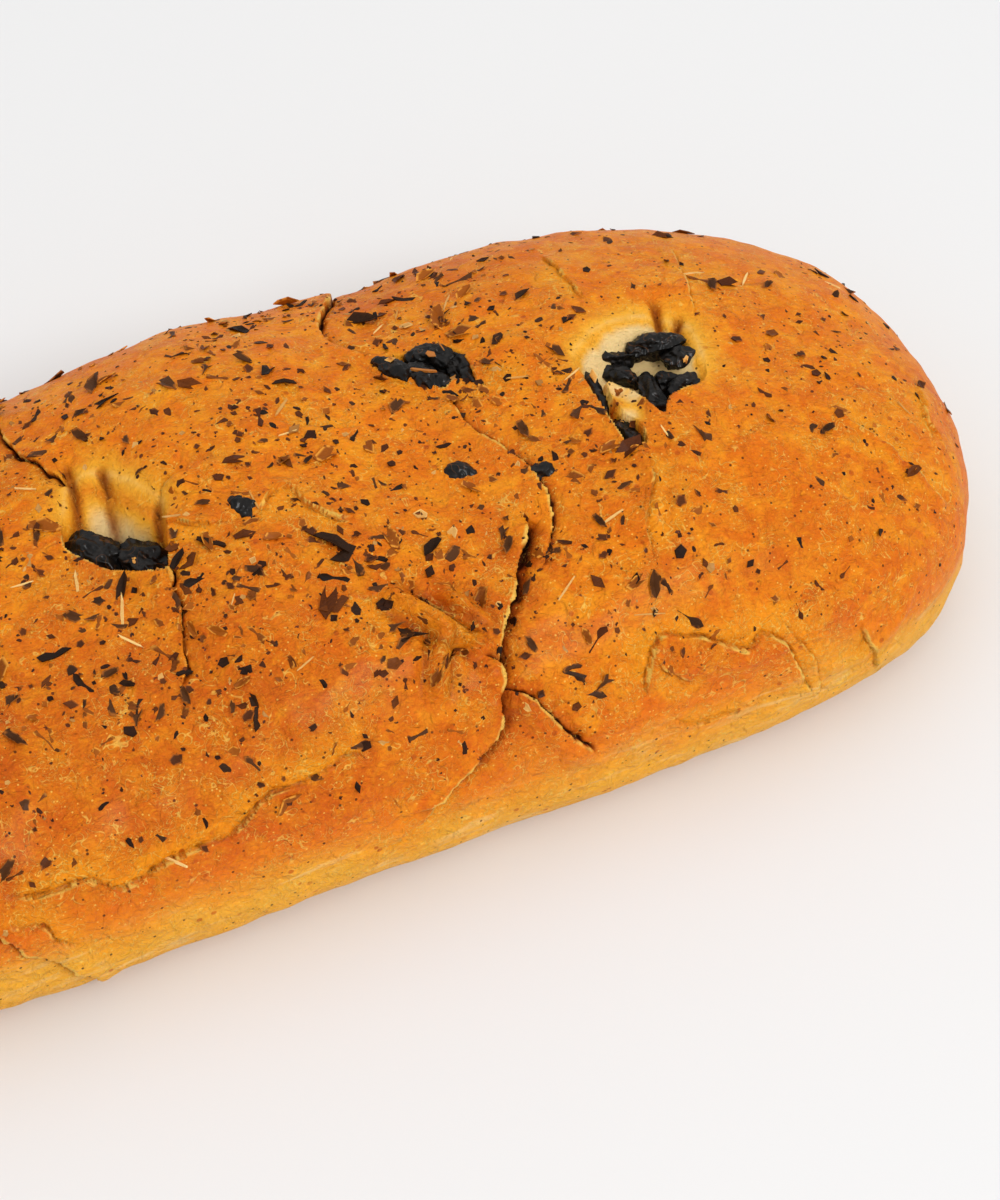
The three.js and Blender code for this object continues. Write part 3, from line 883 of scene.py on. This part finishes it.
def olive_finish():
    finish = Finish("oily_olive", Coat_Roughness=0.14, Specular_IOR_Level=0.12)
    tone = finish.noise(2.2, detail=4, twist=0.6)
    colour = finish.mix(tone.step(0.4, 0.75), linear(9, 8, 7), linear(26, 20, 16))
    edge = finish.threads(3.0, 0.03, twist=0.8) * finish.noise(4, detail=1).step(0.5, 0.62)
    colour = finish.mix(edge * 0.5, colour, linear(112, 66, 26))
    wrinkles = finish.relief(finish.noise(0.7, detail=3, roughness=0.6), 0.2)
    finish.fill(finish.shader, {"Base Color": colour, "Roughness": 0.3 + 0.3 * tone})
    finish.fill(finish.shader, {"Coat Weight": 0.5 * tone, "Normal": wrinkles})
    return finish.material


olive_skin = olive_finish()
olive_nodes = sorted(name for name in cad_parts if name.startswith("olive"))
olives = []
for number, name in enumerate(olive_nodes):
    bm = rounded_copy(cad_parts[name])
    shrivel(bm, seed=10 + number)
    olive = add_piece("baked_" + name, bm)
    olive.data.materials.append(olive_skin)
    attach(olive, "root")
    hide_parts(name)
    olives.append(olive)
print(len(olives), "olives, with", sum(triangles(olive) for olive in olives), "triangles together")

# %% [markdown]
# ## Herbs
# Dried herbs are crumbled leaf, stalk and seed. A few blanks of each kind are cut as thin angular chips, and
# hundreds of turned and scaled copies are dropped onto the crust along straight lines from above. Each lies
# along the skin where it lands. One joined piece for each colour keeps the scene light.

# %% Blanks for flakes
CHIP = 0.18  # thickness of a chip of leaf, in millimetres
STEM = 0.35  # thickness of a stalk or a crumb, in millimetres


def flake_blank(name, corners, length, width, ragged, fold, curl, thickness):
    """A thin chip with a few torn corners, folded along its middle and curled along its length."""
    bm = bmesh.new()
    bmesh.ops.create_circle(bm, cap_ends=True, cap_tris=True, segments=corners, radius=1)
    for vertex in bm.verts:
        along, across, _ = vertex.co
        torn = 1 + ragged * dice.uniform(-1, 0.4)
        x = along * torn * length / 2
        y = across * torn * width / 2
        vertex.co = Vector((x, y, fold * abs(y) + curl * x * x / length)) * MM
    bmesh.ops.solidify(bm, geom=bm.faces, thickness=thickness * MM)
    bmesh.ops.recalc_face_normals(bm, faces=bm.faces)
    edge = bm.verts.layers.float.new("edge")
    for vertex in bm.verts:
        vertex[edge] = float(vertex.co.xy.length > 0.1 * width * MM)
    mesh = bpy.data.meshes.new(name)
    bm.to_mesh(mesh)
    bm.free()
    return mesh


def blanks(kind, count, corners, thickness, *ranges):
    """Several different blanks of one kind. The ranges are for length, width, raggedness, fold and curl."""
    made = []
    for number in range(count):
        sizes = [dice.uniform(*limits) for limits in ranges]
        made.append(flake_blank(f"{kind}_{number}", corners + number % 3, *sizes, thickness))
    return made


LEAF = blanks("leaf", 12, 6, CHIP, (3.4, 5.6), (1.6, 2.7), (0.1, 0.6), (-0.8, 0.8), (-0.7, 0.7))
SHARD = blanks("shard", 12, 4, CHIP, (1.8, 3.2), (1.1, 2.0), (0.1, 0.7), (-0.7, 0.7), (-0.6, 0.6))
CRUMB = blanks("crumb", 6, 4, STEM, (0.5, 1.0), (0.4, 0.7), (0.1, 0.5), (0, 0.3), (0, 0.2))
STALK = blanks("stalk", 6, 5, STEM, (5.0, 8.5), (0.35, 0.55), (0.0, 0.25), (0, 0.2), (-0.15, 0.15))
print("blanks:", len(LEAF + SHARD + CRUMB + STALK))

# %% Strew the herbs
BATCH = 2000  # places drawn at a time
DROP_HEIGHT = 0.2  # in metres
USUAL_SIZE, LARGEST_SIZE = -0.08, 1.6  # the usual size is a logarithm
THIN_ALONG = (35, 115)  # x between which the herbs thin out towards the right end, in millimetres
THIN_DOWN = (20, 37)  # heights between which they thin out down the sides, in millimetres
THIN_STEEP = (0.22, 0.5)  # and the same for the upward part of the skin's normal
grit = np.random.default_rng(SEED)
crust_ground = BVHTree.FromObject(crust, bpy.context.evaluated_depsgraph_get())
all_olives = bmesh.new()
for olive in olives:
    all_olives.from_mesh(olive.data)
olive_ground = BVHTree.FromBMesh(all_olives)
all_olives.free()


def drops(count):
    """Places in plan, at random over the loaf, and which of them are over a window."""
    places = grit.uniform(CAD_BOX[0][:2], CAD_BOX[1][:2], (count, 2))
    plan = places / MM - (0, MIDLINE)
    over = np.any([inside_rim(plan, window["line"]) for window in WINDOWS], axis=0)
    return places, over


def herb_density(hit, normal):
    """Thick over the left and the middle, thin at the right end, and almost none down the sides."""
    along = 1 - 0.68 * smooth(hit.x / MM, *THIN_ALONG)
    down = smooth(hit.z / MM, *THIN_DOWN) * smooth(normal.z, *THIN_STEEP)
    clumps = 0.6 + 0.8 * noise.noise(hit / (24 * MM))
    return float(along * (0.025 + 0.975 * down) * clumps)


def settled(flake, hit, normal, scale, sink, tilt):
    """A copy of a flake, turned at random and laid along the surface where it landed."""
    lean = Matrix.Rotation(dice.gauss(0, tilt), 4, "X") @ Matrix.Rotation(dice.gauss(0, tilt), 4, "Y")
    spin = Matrix.Rotation(dice.uniform(0, 2 * math.pi), 4, "Z")
    upright = normal.to_track_quat("Z", "Y").to_matrix().to_4x4()
    spot = Matrix.Translation(hit + normal * sink * MM)
    copy = flake.copy()
    copy.transform(spot @ upright @ spin @ lean @ Matrix.Scale(scale, 4))
    return copy


def strew(name, shapes, count, spread, sink, tilt, on_olives=False):
    """Joined copies of the shapes, dropped at random until count of them lie on the crust or the olives."""
    ground = olive_ground if on_olives else crust_ground
    bm = bmesh.new()
    laid = 0
    while laid < count:
        places, over = drops(BATCH)
        for x, y in places[over == on_olives]:
            hit, normal, _, _ = ground.ray_cast(Vector((x, y, DROP_HEIGHT)), Vector((0, 0, -1)))
            if hit is None or laid == count or (not on_olives and dice.random() > herb_density(hit, normal)):
                continue
            size = min(math.exp(dice.gauss(USUAL_SIZE, spread)), LARGEST_SIZE)
            copy = settled(dice.choice(shapes), hit, normal, size, sink, tilt)
            bm.from_mesh(copy)
            bpy.data.meshes.remove(copy)
            laid += 1
    piece = add_piece(name, bm, smooth_faces=False)
    print(name, laid, "flakes,", triangles(piece), "triangles")
    return piece


def herb_finish(name, dark, light, edge, coat):
    finish = Finish(name, Coat_Weight=coat, Coat_Roughness=0.25, Specular_IOR_Level=0.1)
    each = Level(finish, finish.node("ShaderNodeNewGeometry").outputs["Random Per Island"])
    vein = finish.noise(0.7, detail=3, stretch=(1, 0.3, 1))
    colour = finish.mix((each * 0.9 + vein * 0.5 - 0.2).step(0.0, 1.0), dark, light)
    # Painted highlight: parts of the rims of some chips turn the edge colour, as if lit.
    caught = finish.noise(1.3, detail=1).step(0.42, 0.58) * (each * 3 - 0.8).step(0, 1)
    colour = finish.mix(finish.mark("edge").step(0.68, 0.95) * caught * 0.85, colour, edge)
    ribs = finish.relief(vein, 0.15)
    finish.fill(finish.shader, {"Base Color": colour, "Roughness": 0.45 + 0.2 * vein, "Normal": ribs})
    return finish.material


# Each row: name, slot, shapes, count, spread of sizes, height above the crust in millimetres and tilt, and
# then the darkest and the lightest colour, the colour of a lit edge and the weight of the coat.
HERBS = (
    ("herbs_dark", "herb_dark", LEAF, 430, 0.34, 0.15, 0.2,
     (26, 14, 6), (84, 48, 20), (170, 98, 34), 0.05),
    ("herbs_dark_bits", "herb_dark", SHARD, 720, 0.4, 0.1, 0.2,
     (30, 14, 5), (94, 46, 14), (176, 94, 28), 0.05),
    ("herbs_brown", "herb_brown", LEAF + SHARD, 900, 0.38, 0.06, 0.16,
     (74, 32, 5), (160, 84, 14), (240, 160, 56), 0.06),
    ("herbs_crumbs", "herb_dark", CRUMB, 1700, 0.35, 0.0, 0.2,
     (50, 22, 8), (110, 50, 16), (110, 50, 16), 0.1),
    ("herbs_tan", "herb_straw", SHARD, 150, 0.35, 0.04, 0.14,
     (164, 108, 44), (216, 160, 84), (236, 190, 110), 0.2),
    ("herbs_stalks", "herb_straw", STALK, 50, 0.25, 0.2, 0.05,
     (204, 140, 58), (246, 206, 128), (250, 216, 144), 0.2),
)
for name, slot, shapes, count, spread, sink, tilt, dark, light, edge, coat in HERBS:
    herbs = strew(name, shapes, count, spread, sink, tilt)
    herbs.data.materials.append(herb_finish(name, linear(*dark), linear(*light), linear(*edge), coat))
    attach(herbs, "root")

# %% Slivers on the olives
slivers = strew("slivers_on_olives", SHARD + STALK, 20, 0.3, 0.1, 0.2, on_olives=True)
# The third colour is the painted highlight on lit edges.
sliver_colours = (linear(170, 96, 30), linear(226, 160, 72), linear(240, 190, 110))
slivers.data.materials.append(herb_finish("sliver", *sliver_colours, 0.3))
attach(slivers, "root")

# %% [markdown]
# ## Stage
# A pale floor, a bright surround, a weak broad light overhead and a smaller one in front, which brings out
# the pale near side and the lips of the laps. The camera looks down on the long near side from the left.

# %% Stage
LENS = 85
ELEVATION, AZIMUTH, DISTANCE = 50, -24, 645  # degrees, degrees and millimetres
TARGET = (53, -4, 0)  # millimetres from the core
# Place, aim and size in metres, and power in watts.
SOFTBOXES = {
    "overhead": ((0.1, 0.3, 1.1), (0.03, 0, 0), (1.0, 0.8), 1.2),
    "front": ((0.5, -1.4, 1.5), (0.03, 0, 0.03), (0.8, 0.6), 16.4),
}


def add_floor():
    bm = bmesh.new()
    bmesh.ops.create_grid(bm, x_segments=1, y_segments=1, size=4)
    floor = add_piece("floor", bm)
    paper = Finish("floor_paper", Roughness=0.9)
    tone = paper.mix(paper.noise(400), linear(229, 229, 229), linear(232, 232, 232))
    paper.fill(paper.shader, {"Base Color": tone})
    floor.data.materials.append(paper.material)


def add_softbox(name, place, aim, size, power):
    light = bpy.data.lights.new(name, "AREA")
    light.shape = "RECTANGLE"
    light.size, light.size_y = size
    light.energy = power
    lamp = bpy.data.objects.new(name, light)
    lamp.location = place
    lamp.rotation_euler = (Vector(aim) - Vector(place)).to_track_quat("-Z", "Y").to_euler()
    bpy.context.scene.collection.objects.link(lamp)


def add_camera():
    camera = bpy.data.cameras.new("camera")
    camera.lens = LENS
    camera.clip_start = 0.01
    holder = bpy.data.objects.new("camera", camera)
    target = (Vector(TARGET) + Vector((0, MIDLINE, 0))) * MM
    elevation, azimuth = math.radians(ELEVATION), math.radians(AZIMUTH)
    back = Vector((
        math.sin(azimuth) * math.cos(elevation),
        -math.cos(azimuth) * math.cos(elevation),
        math.sin(elevation),
    ))
    holder.location = target + back * DISTANCE * MM
    holder.rotation_euler = (-back).to_track_quat("-Z", "Y").to_euler()
    bpy.context.scene.collection.objects.link(holder)
    bpy.context.scene.camera = holder
    print("camera at", tuple(round(value, 3) for value in holder.location))


def light_the_studio():
    world = bpy.data.worlds.new("studio")
    world.use_nodes = True
    world.node_tree.nodes["Background"].inputs["Color"].default_value = (1, 1, 1, 1)
    world.node_tree.nodes["Background"].inputs["Strength"].default_value = 0.81
    bpy.context.scene.world = world
    for name, (place, aim, size, power) in SOFTBOXES.items():
        add_softbox(name, place, aim, size, power)
    bpy.context.scene.view_settings.view_transform = "Standard"


add_floor()
add_camera()
light_the_studio()
